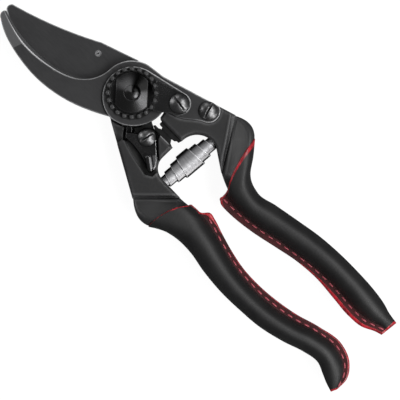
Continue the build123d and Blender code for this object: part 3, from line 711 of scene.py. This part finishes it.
@dataclass(frozen=True)
class Leather:
    """Smooth black leather whose cut edges are painted; the piece's own values say where."""

    name: str = "leather"
    black: Colour = (0.0045, 0.0045, 0.0047)
    faded: Colour = (0.0085, 0.0084, 0.0085)
    stained: Colour = (0.055, 0.0075, 0.009)
    paint: Colour = (0.44, 0.013, 0.024)
    paint_dark: Colour = (0.16, 0.006, 0.011)
    roughness: float = 0.56
    pebble: float = 0.9

    def material(self) -> Material:
        """Make the finish: pebbled grain, soft mottling, red edge paint with a ragged border."""
        shader = Shader(self.name)
        painted, flange = shader.own("painted"), shader.own("flange")
        grain = shader.noise(0.55, 3.0)
        inputs = {"Vector": shader.place(), "Scale": 1.0 / (self.pebble * MM)}
        cells = shader.node("ShaderNodeTexVoronoi", {"feature": "SMOOTH_F1"}, inputs)
        pebbles = Value(shader, cells.outputs["Distance"]) * 0.6 + grain * 0.4
        mottle = shader.noise(7.0, 3.0).rise(0.3, 0.7)
        border = (painted + (shader.noise(0.8) - 0.5) * 0.5).rise(0.42, 0.6)
        hide = shader.mix(mottle, self.black, self.faded)
        hide = shader.mix(flange * (mottle * 0.5 + 0.5), hide, self.stained)
        red = shader.mix(shader.noise(1.7).rise(0.3, 0.7), self.paint_dark, self.paint)
        matt = flange * (1.0 - border) * 0.42 - border * 0.2
        return shader.finish(
            Base_Color=shader.mix(border, hide, red),
            Roughness=self.roughness + (grain - 0.5) * 0.14 + matt,
            Normal=shader.relief(pebbles * (1.0 - border * 0.7), 0.05),
        )


@dataclass(frozen=True)
class Thread:
    """Waxed sewing thread, twisted, in a faded red."""

    name: str = "thread"
    light: Colour = (0.48, 0.105, 0.13)
    dark: Colour = (0.26, 0.03, 0.045)

    def material(self) -> Material:
        """Make the finish: the strands' twist as slanting lines along each stitch."""
        shader = Shader(self.name)
        strands = (shader.own("twist") * math.tau).sine() * 0.5 + 0.5
        return shader.finish(
            Base_Color=shader.mix(strands * 0.7 + shader.noise(0.6) * 0.3, self.dark, self.light),
            Roughness=0.5 + (shader.noise(0.4) - 0.5) * 0.2,
            Normal=shader.relief(strands, 0.06),
        )


PLATE: dict[str, Any] = {
    "dark": (0.025, 0.025, 0.026),
    "light": (0.032, 0.032, 0.033),
    "roughness": 0.42,
    "grain": 0.5,
    "lines": (0.12, 1.0, 1.0),
    "depth": 0.004,
    "easing": 0.35,
    "shine": 0.35,
}
BLADE_PLATE = SlidBlade(name="coated_blade", wear_glint_colour=(0.42, 0.42, 0.43), wear_glint_amount=0.8, corner_shade=0.2, **PLATE)
HOOK_PLATE = GroundHook(name="coated_hook", wear_glint_colour=(0.55, 0.55, 0.56), wear_glint_amount=0.9, corner_shade=0.5, **PLATE)
CASTING = CastHandle(
    name="coated_casting",
    dark=(0.015, 0.015, 0.0155),
    light=(0.021, 0.021, 0.0215),
    wear_glint_colour=(0.22, 0.22, 0.225),
    roughness=0.42,
    grain=0.7,
    depth=0.012,
    easing=0.9,
    wear_glint_amount=0.3,
    shine=0.4,
)
BLACK: dict[str, Any] = {
    "dark": (0.07, 0.07, 0.071),
    "light": (0.10, 0.10, 0.101),
    "roughness": 0.25,
    "grain": 0.4,
    "depth": 0.004,
    "easing": 0.3,
    "corner_shade": 0.85,
    "metal": 1.0,
}
BLACKENED = CoatedSteel(name="blackened_steel", wear_glint_colour=(0.36, 0.36, 0.365), wear_glint_amount=0.4, **BLACK)
CATCH_STEEL = RimmedCatch(name="catch_steel", wear_glint_colour=(0.62, 0.62, 0.63), wear_glint_amount=1.0, **BLACK)
TURNED = BLACK | {
    "dark": (0.040, 0.040, 0.041),
    "light": (0.057, 0.057, 0.058),
    "wear_glint_colour": (0.1, 0.1, 0.102),
    "wear_glint_amount": 0.15,
    "corner_shade": 0.25,
}
BOLT_STEEL = TurnedSteel(name="bolt_steel", **TURNED)
NUT_STEEL = ToothedNut(name="nut_steel", **TURNED)
SCREWED = BLACK | {
    "dark": (0.11, 0.11, 0.112),
    "light": (0.17, 0.17, 0.172),
    "roughness": 0.36,
    "grain": 0.5,
    "lines": (1.0, 0.2, 1.0),
    "depth": 0.006,
    "corner_shade": 0.8,
}
SCREW_STEEL = CoatedSteel(name="screw_steel", wear_glint_colour=(0.4, 0.4, 0.405), wear_glint_amount=0.4, **SCREWED)
BRIGHT = BareSteel(name="bare_steel", colour=(0.56, 0.56, 0.57), roughness=0.3)
PLATED = BareSteel(
    name="spring_plate", colour=(0.42, 0.42, 0.43), roughness=0.56, lines=(0.15, 1.0, 0.15)
)


@dataclass
class Plates:
    """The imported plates, castings, fasteners and stops, which keep their shapes."""

    finishes: tuple[tuple[Any, tuple[str, ...]], ...] = (
        (HOOK_PLATE, ("hook",)),
        (BLADE_PLATE, ("cutting_blade",)),
        (CASTING, ("upper_handle", "lower_handle")),
        (BOLT_STEEL, ("pivot_bolt",)),
        (NUT_STEEL, ("adjusting_nut",)),
        (BLACKENED, ("locking_segment",)),
        (SCREW_STEEL, ("segment_screw", "hook_screw", "catch_screw")),
        (CATCH_STEEL, ("thumb_catch",)),
        (BRIGHT, ("catch_washer", "hook_stop_pin")),
        (PeenedRivet(), ("blade_rivet",)),
        (Rubber(), ("upper_buffer", "lower_buffer")),
    )

    def dress(self, nodes: dict[str, bpy.types.Object]) -> None:
        """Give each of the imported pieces, by name, its finish."""
        for finish, names in self.finishes:
            material = finish.material()
            for name in names:
                materials = nodes[name].data.materials
                materials.clear()
                materials.append(material)
                log.info("%s: %s", name, finish.name)


@dataclass(frozen=True)
class Sections:
    """Places, plan directions and sizes of sections across a sleeve, one row for each.

    Each starts at the fold and runs across to the cut edge; forward is towards the pivot.
    """

    along: Array
    fold: Array
    across: Array
    forward: Array
    tube: Array
    whole: Array
    half: Array
    paint: Array
    inset: Array


@dataclass
class LeatherSleeve:
    """A leather sleeve folded round a handle and sewn along a flange on its inner side.

    Each station across it holds the plan points of its fold, of the flange's root and of the cut
    edge, then half its thickness, the painted width and the inset of the stitches.
    """

    name: str
    node: str
    body: Body
    stations: tuple[tuple[float, ...], ...]
    bow: tuple[Point, ...]
    first_stitch: float
    end_stitch: float
    collar_paint: Point
    level: float = 9.5
    tube_turn: float = 0.88 * math.pi
    fullness: float = 2.1
    swell: float = 1.0
    swell_reach: float = 14.0
    flange: float = 1.3
    blend: float = 1.5
    hide: float = 1.8
    lip: float = 0.55
    tail: float = 2.5
    tip: float = 0.9
    fine: float = 2.0
    lip_paint: float = 1.0
    least_paint: float = 0.15
    paint_step: float = 0.4
    bow_reach: float = 9.0
    pitch: float = 4.0
    stitch: float = 2.7
    thread: float = 0.36
    thread_rise: float = 0.16
    thread_sink: float = 0.42
    twists: float = 2.5
    crease: float = 0.2
    crease_width: float = 0.75
    seam_depth: float = 0.35
    seam_share: float = 0.48
    seam_end: float = 2.2

    def __post_init__(self) -> None:
        """Lay the stations out along the sleeve by the distance between their middles."""
        self.table = np.array(self.stations)
        middle = (self.table[:, 0:2] + self.table[:, 4:6]) / 2
        self.knots = travelled(middle)
        self.length = float(self.knots[-1])

    def section(self, along: Array) -> Sections:
        """Sections at some distances from the collar."""
        rows = through(self.knots, self.table, along)
        fold, root, edge = rows[:, None, 0:2], rows[:, None, 2:4], rows[:, None, 4:6]
        whole, tube = (np.linalg.norm(end - fold, axis=2) for end in (edge, root))
        across = (edge - fold) / whole[..., None]
        forward = np.stack([across[..., 1], -across[..., 0]], axis=-1)
        forward = forward * -np.sign(forward[..., :1])
        sizes = rows[:, 6:7], rows[:, 7:8], rows[:, 8:9]
        return Sections(along[:, None], fold, across, forward, tube, whole, *sizes)

    def height(self, x: Array, at: Sections) -> Array:
        """Height of the leather over its middle plane, at distances from the fold.

        The tube is a full oval of its width and thickness, squarer near the collar where it lies
        over the neck of the casting. Past its middle it runs into the flange by a smooth maximum
        of the two heights, and the stitch line presses a shallow crease that is deepest at each
        stitch.

        Args:
            x: Distances from the fold, one row for each section.
            at: The sections.

        Returns:
            Heights, shaped as x.
        """
        side = 2 * x / at.tube - 1
        fullness = self.fullness + self.swell * (1 - smooth_step(at.along / self.swell_reach))
        oval = at.half * (1 - np.clip(np.abs(side), 0.0, 1.0) ** fullness) ** (1 / fullness)
        blend = self.blend * smooth_step(side * 1.2)
        joined = 0.5 * (oval + self.flange + np.sqrt((oval - self.flange) ** 2 + blend**2))
        seam = (x - (at.whole - at.inset)) / self.crease_width
        pull = 0.7 + 0.3 * np.cos(math.tau * at.along / self.pitch)
        return np.where(x < at.tube / 2, oval, joined - self.crease * pull * np.exp(-(seam**2)))

    def profile(self, at: Sections) -> tuple[Array, Array, Array]:
        """Upper half of each section, from the fold to the seam in the cut edge.

        The edge is a quarter oval as wide as the paint, and under it each layer rounds back in
        to the seam between the two.

        Args:
            at: The sections.

        Returns:
            Distances from the fold, heights, and paint from 0 to 1.
        """
        tube_x = at.tube * (1 - np.cos(np.linspace(0.0, self.tube_turn, 44))) / 2
        last, reach = tube_x[:, -1:], at.whole - at.paint
        x = np.hstack([tube_x, last + (reach - last) * np.linspace(0, 1, 17)[1:]])
        z = self.height(x, at)
        top, middle = z[:, -1:], self.seam_share * z[:, -1:]
        over, under = (np.linspace(0, math.pi / 2, count)[1:] for count in (8, 5))
        edge_x = reach + at.paint * np.sin(over)
        edge_z = middle + (top - middle) * np.cos(over)
        seam_x = at.whole - self.seam_depth * (1 - np.cos(under))
        seam_z = middle * (1 - np.sin(under))
        x = np.hstack([x, edge_x, seam_x])
        z = np.hstack([z, edge_z, seam_z])
        paint = np.zeros_like(x)
        painted = 1 + over.size + under.size
        paint[:, -painted:] = smooth_step((at.paint - self.least_paint) / self.paint_step)
        return x, z, paint

    @staticmethod
    def sunk(x: Array, z: Array, depth: Array) -> tuple[Array, Array]:
        """One section moved in by some depths along its own normals, not past its middle plane."""
        slope = np.stack([np.gradient(x), np.gradient(z)], axis=1)
        slope /= np.linalg.norm(slope, axis=1)[:, None]
        return x + depth[:, None] * slope[:, 1], np.maximum(z - depth[:, None] * slope[:, 0], 0.0)

    def plan(self, x: Array, at: Sections) -> Array:
        """Plan points at distances from the fold: straight across, bowed near the collar."""
        bow = np.array(self.bow)
        lead = through(bow[:, 0], bow[:, 1:], (x / at.whole).ravel()).reshape(x.shape)
        lead = lead * (1 - smooth_step(at.along / self.bow_reach))
        return at.fold + x[..., None] * at.across + lead[..., None] * at.forward

    def shell(self) -> Surface:
        """The sleeve's outside, its rounded lip at the collar and a short way in.

        Each ring runs over the top from the fold to the seam and back underneath, and the last
        rings close in a quarter circle. The lip is half an oval from the outer ring in to the
        leather's thickness, bulging towards the pivot.

        Returns:
            The surface, with the painted parts and the flange marked.
        """
        tip_start = self.length - self.tip
        body = np.linspace(self.fine, tip_start, 230)[1:]
        tip = self.length - self.tip * (1 - np.sin(np.linspace(0, math.pi / 2, 9)))[1:]
        at = self.section(np.hstack([np.linspace(0, self.fine, 11), body, tip]))
        x, z, paint = self.profile(at)
        z = z * np.sqrt(1 - np.clip((at.along - tip_start) / self.tip, 0.0, 1.0) ** 2)
        flat = self.plan(x, at)
        flange = smooth_step((x - at.tube) / 1.2 + 0.5)
        collar = np.interp(x / at.whole, (0.0, 0.75), self.collar_paint)
        dipped = (at.along < collar) | (at.along > self.length - self.tip * 1.05)
        bulge = np.linspace(0, math.pi, 9)[1:]
        lip_x, lip_z = self.sunk(x[0], z[0], self.hide / 2 * (1 - np.cos(bulge)))
        ahead = (self.lip * np.sin(bulge))[:, None, None] * at.forward[0]
        lip = flat[0] + ((lip_x - x[0])[..., None] * at.across[0] + ahead)
        inner = self.section(np.array([self.tail]))
        tail_x, tail_z, _ = self.profile(inner)
        tail_x, tail_z = self.sunk(tail_x[0], tail_z[0], np.array([self.hide]))
        flat = np.concatenate([self.plan(tail_x, inner), lip[::-1], flat])
        z = np.concatenate([tail_z, lip_z[::-1], z])
        points = looped(*(np.dstack([flat, self.level + side * z]) for side in (1, -1)))
        within = np.ones((1 + bulge.size, x.shape[1]))
        marks = {
            "painted": np.concatenate([within * self.lip_paint, np.maximum(paint, dipped)]),
            "flange": np.concatenate([within * 0.0, flange]),
        }
        values = {key: looped(mark, mark) for key, mark in marks.items()}
        return Surface(points, grid_quads(*points.shape[:2]), values)

    def seam_line(self) -> tuple[Array, Array]:
        """Places of the stitches, a pitch apart.

        The line follows the cut edge at the stations' inset, then turns across the tail.

        Returns:
            The stitches' distances from the collar, and a column of those from the fold.
        """
        last = self.length - self.seam_end
        run = np.linspace(self.first_stitch, last, 600)
        at = self.section(run)
        edge = (at.whole - at.inset)[:, 0]
        turn = np.linspace(0, 1, 60)[1:]
        along = np.append(run, np.full(turn.size, last))
        x = np.append(edge, edge[-1] - turn * (edge[-1] - self.end_stitch))
        path = self.plan(x[:, None], self.section(along))[:, 0]
        gone = travelled(path)
        places = np.arange(self.stitch / 2, gone[-1] - self.stitch / 2, self.pitch)
        return np.interp(places, gone, along), np.interp(places, gone, x)[:, None]

    def sewing(self) -> Surface:
        """Stitches on both faces, as short bowed threads with tapered ends.

        Towards the ends of a stitch the thread's middle sinks into the leather by the fourth
        power of the distance along it, and its radius follows the root of such a fall; round it,
        the section is a circle.

        Returns:
            The surface of all the stitches, with the twist's phase at each point.
        """
        along, x = self.seam_line()
        at = self.section(along)
        middle, top = self.plan(x, at)[:, 0], self.height(x, at)
        ahead = np.gradient(middle, axis=0)
        ahead /= np.linalg.norm(ahead, axis=1)[:, None]
        beside = np.stack([-ahead[:, 1], ahead[:, 0]], axis=1)
        spread = np.linspace(-1, 1, 9)[:, None]
        around = np.linspace(0, math.tau, 8, endpoint=False)
        radius = self.thread * np.sqrt(1 - 0.96 * spread**4)
        rise = self.thread_rise - self.thread_sink * spread**4
        reach = (spread * self.stitch / 2)[..., None]
        flat = middle[:, None, None] + reach * ahead[:, None, None]
        flat = flat + (radius * np.cos(around))[..., None] * beside[:, None, None]
        z = (top[..., None] + rise + radius * np.sin(around))[..., None]
        twist = spread * self.twists + around / math.tau
        faces = [np.concatenate([flat, self.level + side * z], axis=3) for side in (1, -1)]
        points = np.concatenate(faces).reshape(-1, twist.size, 3)
        starts = np.arange(len(points))[:, None, None] * twist.size
        quads = (grid_quads(*twist.shape) + starts).reshape(-1, 4)
        values = np.broadcast_to(twist.ravel(), points.shape[:2])
        return Surface(points, quads, {"twist": values}, sharp=180.0)

    def build(self, leather: Material, thread: Material) -> None:
        """Make the sleeve and its stitches and let them ride on their handle."""
        sleeve = self.shell().piece(f"{self.name}_sleeve", leather)
        stitches = self.sewing().piece(f"{self.name}_stitches", thread)
        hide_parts(self.node)
        for piece in (sleeve, stitches):
            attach(piece, self.body.value)
            log.info("%s: %d faces", piece.name, len(piece.data.polygons))


UPPER_SLEEVE = LeatherSleeve(
    name="upper",
    node="upper_grip",
    body=Body.HOOK_SIDE,
    stations=(
        (49.4, 22.8, 57.0, -0.9, 57.3, -5.7, 9.0, 1.3, 2.0),
        (54.0, 17.2, 57.8, -2.2, 58.6, -6.5, 9.2, 0.7, 2.3),
        (58.5, 11.0, 60.5, -3.0, 61.0, -6.8, 9.4, 0.3, 2.5),
        (66.0, 7.7, 67.0, -3.2, 67.3, -6.6, 9.5, 0.15, 2.4),
        (75.0, 9.3, 76.0, -2.4, 76.3, -5.4, 9.3, 0.15, 2.4),
        (86.0, 11.3, 86.5, -0.1, 86.7, -3.2, 9.2, 0.2, 2.2),
        (97.0, 13.1, 97.5, 1.6, 97.6, -1.0, 9.3, 0.3, 2.0),
        (108.0, 13.9, 108.3, 2.8, 108.4, -0.2, 9.5, 0.7, 2.3),
        (119.0, 13.9, 119.0, 2.8, 119.0, -1.0, 9.3, 1.3, 3.0),
        (129.0, 13.3, 129.0, 2.2, 129.0, -1.8, 8.6, 1.4, 3.1),
        (135.5, 12.3, 135.8, 2.8, 135.9, -1.1, 7.2, 1.3, 2.8),
        (140.5, 10.9, 140.8, 4.6, 141.2, 1.4, 4.6, 1.1, 2.4),
        (145.1, 10.2, 144.8, 5.5, 144.2, 2.3, 1.6, 1.0, 2.2),
    ),
    bow=((0.0, 0.0), (0.25, 0.6), (0.46, 0.75), (0.6, 0.55), (0.71, 0.0), (0.84, -1.0), (1.0, 0.0)),
    first_stitch=1.6,
    end_stitch=2.0,
    collar_paint=(1.7, 0.6),
)
LOWER_SLEEVE = LeatherSleeve(
    name="lower",
    node="lower_grip",
    body=Body.BLADE_SIDE,
    stations=(
        (44.0, -34.4, 50.2, -15.7, 50.4, -15.2, 9.0, 0.5, 2.0),
        (47.0, -32.5, 52.7, -15.5, 52.9, -15.0, 9.1, 0.5, 2.0),
        (50.0, -31.0, 55.0, -15.4, 55.2, -14.8, 9.2, 0.9, 2.0),
        (53.2, -30.1, 57.6, -15.4, 58.0, -12.2, 9.3, 1.7, 2.1),
        (56.5, -29.6, 60.4, -15.7, 61.2, -12.7, 9.4, 1.1, 2.0),
        (64.0, -29.7, 67.0, -17.2, 67.7, -14.8, 9.4, 0.36, 1.9),
        (73.0, -31.3, 75.0, -19.4, 75.4, -17.0, 9.3, 0.36, 1.7),
        (84.0, -32.3, 84.5, -21.3, 84.6, -18.8, 9.3, 0.36, 1.7),
        (95.0, -32.1, 95.0, -21.9, 95.0, -19.1, 9.4, 0.36, 1.9),
        (106.0, -31.2, 105.0, -21.1, 104.7, -18.2, 9.5, 0.36, 2.0),
        (117.0, -28.6, 114.8, -19.0, 114.1, -16.4, 9.4, 0.36, 2.0),
        (126.0, -25.6, 124.0, -16.0, 123.4, -13.7, 9.0, 0.36, 2.0),
        (133.5, -24.5, 134.5, -14.9, 134.8, -12.0, 8.0, 0.6, 2.3),
        (138.5, -26.5, 141.5, -17.8, 142.8, -15.2, 6.0, 0.8, 2.3),
        (142.5, -28.2, 145.2, -23.0, 147.0, -21.2, 3.6, 0.9, 2.2),
        (146.0, -29.3, 146.6, -27.9, 147.1, -26.9, 1.5, 0.9, 1.6),
    ),
    bow=((0.0, 0.0), (0.26, 1.4), (0.42, 1.7), (0.57, 1.8), (0.74, 1.4), (0.92, 0.3), (1.0, 0.0)),
    first_stitch=11.0,
    end_stitch=1.2,
    collar_paint=(-0.6, 0.2),
    lip_paint=0.52,
)


@dataclass
class VoluteSpring:
    """Flat strip wound to a volute, slit from its inner end so that it cones out both ways."""

    name: str = "spring_strip"
    node: str = "volute_spring"
    lower: Point = (35.57, -16.85)
    upper: Point = (37.93, 9.9)
    level: float = 7.7
    strip: float = 0.4
    first: float = 1.9875
    step: float = 0.85
    turns: float = 3.5
    inner: float = 2.625
    outer: float = 5.175
    band: float = 1.9
    split: float = 4.4
    peg: float = 1.45
    arm: float = 4.2
    play: float = 0.1
    glint_rim: float = 0.3

    def radius(self, angle: Array) -> Array:
        """Radius of the strip's middle: an even spiral that grows by one step in each turn."""
        return self.first + self.step * angle / math.tau

    def wound(self, angle: Array, low: Array, high: Array) -> Surface:
        """A length of strip as loops round its section: out along one face, back along the other.

        Args:
            angle: Angles along the strip, from the side away from its outer end.
            low: Height of its lower edge at each angle, along the spring's axis.
            high: Height of its upper edge.

        Returns:
            The closed surface, with its rims and its sides marked.
        """
        share = np.linspace(0, 1, 9) * (high - low)[:, None]
        share[:, 1] = np.minimum(self.glint_rim, share[:, 2])
        share[:, -2] = np.maximum(high - low - self.glint_rim, share[:, -3])
        up = low[:, None] + np.hstack([share, share[:, ::-1]])
        rows, columns = up.shape
        face, back = np.arange(columns).reshape(2, -1)
        thick = self.strip / 2 * np.repeat([1.0, -1.0], face.size)
        out, turn = self.radius(angle)[:, None] + thick, angle[:, None]
        run = np.array(heading(self.lower, self.upper))
        middle = (np.array(self.upper) + np.array(self.lower)) / 2
        aside = (-out * np.cos(turn))[..., None] * np.array([-run[1], run[0]])
        points = np.dstack([middle + aside + up[..., None] * run, self.level + out * np.sin(turn)])
        rungs = np.stack([face[:-1], face[1:], back[-2::-1], back[:0:-1]], axis=1)
        quads = [grid_quads(rows, columns), rungs, rungs + (rows - 1) * columns]
        # Marks for the painted highlight along the strip's edges and for its painted light and
        # shade by side.
        glint_rims = np.tile(np.isin(face, (0, face[-1])), 2 * rows)
        values = {"glint_rim": glint_rims, "side": np.repeat(np.cos(angle), columns)}
        return Surface(points.reshape(-1, 3), np.concatenate(quads)[:, ::-1], values)

    def surface(self) -> Surface:
        """The whole strip: the unslit band outside and the two arms that cone inwards.

        The outer edges run straight from the band to the end coils over the strip's radius, and
        so does the slit from the band's middle to the pegs.

        Returns:
            The closed surface.
        """
        half = math.dist(self.lower, self.upper) / 2 - self.play
        meeting = (self.split - self.first) / self.step * math.tau
        arm = np.linspace(0.0, meeting, 200)
        band = np.linspace(meeting, self.turns * math.tau, 50)
        ends = (self.inner, self.outer), (half, self.band)
        edge, rest = (np.interp(self.radius(angle), *ends) for angle in (arm, band))
        slit = np.interp(self.radius(arm), (self.peg, self.split), (half - self.arm, 0.0))
        lengths = (arm, slit, edge), (arm, -edge, -slit), (band, -rest, rest)
        parts = [self.wound(*length) for length in lengths]
        starts = np.cumsum([0] + [len(part.points) for part in parts])
        points = np.concatenate([part.points for part in parts])
        quads = np.concatenate([part.quads + start for part, start in zip(parts, starts)])
        values = {key: np.concatenate([p.values[key] for p in parts]) for key in ("glint_rim", "side")}
        return Surface(points, quads, values, sharp=35.0)

    def build(self, plated: Material) -> None:
        """Make the strip in its finish and put it in place of the imported spring."""
        made = self.surface().piece(self.name, plated)
        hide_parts(self.node)
        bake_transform(made)
        log.info("%s: %d faces", made.name, len(made.data.polygons))


@dataclass(frozen=True)
class Softbox:
    """A soft rectangular lamp that faces the shears."""

    name: str
    toward: Triple
    distance: float
    size: Point
    power: float

    def build(self, centre: Vector) -> None:
        """Hang the lamp in its direction from a point and turn it to that point."""
        lamp = bpy.data.lights.new(self.name, "AREA")
        lamp.shape = "RECTANGLE"
        lamp.size, lamp.size_y = self.size
        lamp.energy = self.power
        held = bpy.data.objects.new(self.name, lamp)
        direction = Vector(self.toward).normalized()
        held.location = centre + direction * self.distance
        held.rotation_euler = direction.to_track_quat("Z", "Y").to_euler()
        held.visible_camera = False
        bpy.context.scene.collection.objects.link(held)
        log.info("%s: %.1f W", self.name, self.power)


@dataclass
class Studio:
    """Pale floor, soft lamps, dim surroundings and the camera straight above the shears."""

    centre: Triple = (51.2, -11.4, 11.0)
    frame: float = 166.0
    distance: float = 1.0
    turn: float = 45.0
    sensor: float = 36.0
    floor_size: float = 3.0
    floor_colour: Colour = (0.08, 0.08, 0.08)
    floor_mottle: float = 60.0
    floor_lighter: float = 1.02
    floor_glow: float = 0.95
    surroundings: Colour = (0.10, 0.10, 0.102)
    lamps: tuple[Softbox, ...] = (
        Softbox("key", (0.75, 0.08, 1.0), 1.0, (0.45, 0.4), 5.0),
        Softbox("side", (1.0, 0.1, 0.42), 1.0, (0.35, 0.5), 3.5),
        Softbox("rake", (-0.93, -0.37, 0.43), 1.1, (0.4, 0.5), 3.0),
        Softbox("far_rake", (-0.78, 0.42, 0.47), 1.1, (0.4, 0.4), 1.2),
        Softbox("overhead", (0.25, 0.62, 1.0), 1.2, (0.8, 0.36), 7.5),
    )

    def build(self) -> None:
        """Set up the floor, lamps, surroundings and camera."""
        centre = Vector(self.centre) * MM
        for lamp in self.lamps:
            lamp.build(centre)
        self.lay_floor()
        world = bpy.data.worlds.new("surroundings")
        world.use_nodes = True
        background = world.node_tree.nodes["Background"]
        background.inputs["Color"].default_value = (*self.surroundings, 1.0)
        scene = bpy.context.scene
        scene.world = world
        scene.view_settings.view_transform = "Standard"
        lens = bpy.data.cameras.new("camera")
        lens.sensor_width = self.sensor
        lens.lens = self.sensor * self.distance / (self.frame * MM)
        camera = bpy.data.objects.new("camera", lens)
        camera.location = centre + Vector((0, 0, self.distance))
        camera.rotation_euler = (0.0, 0.0, math.radians(self.turn))
        scene.collection.objects.link(camera)
        scene.camera = camera

    def lay_floor(self) -> None:
        """Lay the floor under the shears, with a faint mottling."""
        half = self.floor_size / 2 / MM
        corners = np.array([[-half, -half, 0], [half, -half, 0], [half, half, 0], [-half, half, 0]])
        shader = Shader("floor")
        lighter = tuple(self.floor_lighter * part for part in self.floor_colour)
        material = shader.finish(
            Base_Color=shader.mix(shader.noise(self.floor_mottle), self.floor_colour, lighter),
            Roughness=0.9,
            Emission_Color=(1.0, 1.0, 1.0, 1.0),
            Emission_Strength=self.floor_glow,
        )
        floor = Surface(corners, np.array([[0, 1, 2, 3]])).piece("floor", material)
        floor.visible_glossy = False


def main() -> None:
    """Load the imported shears, dress them, add the new pieces and set up the studio."""
    logging.basicConfig(level=logging.INFO, format="%(name)s %(message)s")
    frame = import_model()
    Studio().build()
    Plates().dress(frame["nodes"])
    leather, thread = Leather().material(), Thread().material()
    for sleeve in (UPPER_SLEEVE, LOWER_SLEEVE):
        sleeve.build(leather, thread)
    VoluteSpring().build(PLATED.material())


if __name__ == "__main__":
    main()
